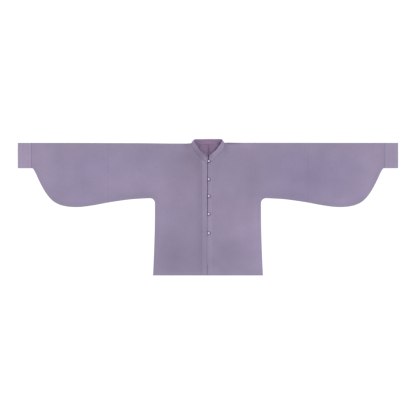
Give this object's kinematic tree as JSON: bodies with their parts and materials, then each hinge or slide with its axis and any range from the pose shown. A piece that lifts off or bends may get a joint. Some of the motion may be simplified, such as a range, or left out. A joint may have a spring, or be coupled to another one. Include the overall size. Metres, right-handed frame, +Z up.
{
  "type": "stand-collar front-opening jacket with lute-shaped sleeves, laid flat",
  "caption": "Short jacket laid out flat, front up: stand collar, lute-shaped sleeves with narrow cuffs, side slits, pearl buttons in cord loops.",
  "frame": {"origin": "middle of the underside, which rests on the table", "axes": "+X along the sleeves to the wearer's left, +Y up the body from the hem to the collar, +Z up off the table, out of the front"},
  "size_m": [1.9, 0.6808, 0.0352],
  "materials": {
    "cloth": "fine plain weave, soft matte with a faint sheen",
    "cuff": "fine plain weave, slightly paler",
    "band": "fine plain weave, stitched down",
    "collar": "fine plain weave over a stiff interlining",
    "pearl": "pearl lustre",
    "cord": "rolled cloth cord"
  },
  "bodies": {
    "root": {"body_right": "cloth", "body_left": "cloth", "sleeve_right": "cloth", "sleeve_left": "cloth", "cuff_right": "cuff", "cuff_left": "cuff", "front_band_right": "band", "front_band_left": "band", "collar": "collar", "button_1": "pearl", "button_2": "pearl", "button_3": "pearl", "button_4": "pearl", "button_5": "pearl", "loop_1": "cord", "loop_2": "cord", "loop_3": "cord", "loop_4": "cord", "loop_5": "cord"}
  },
  "joints": []
}
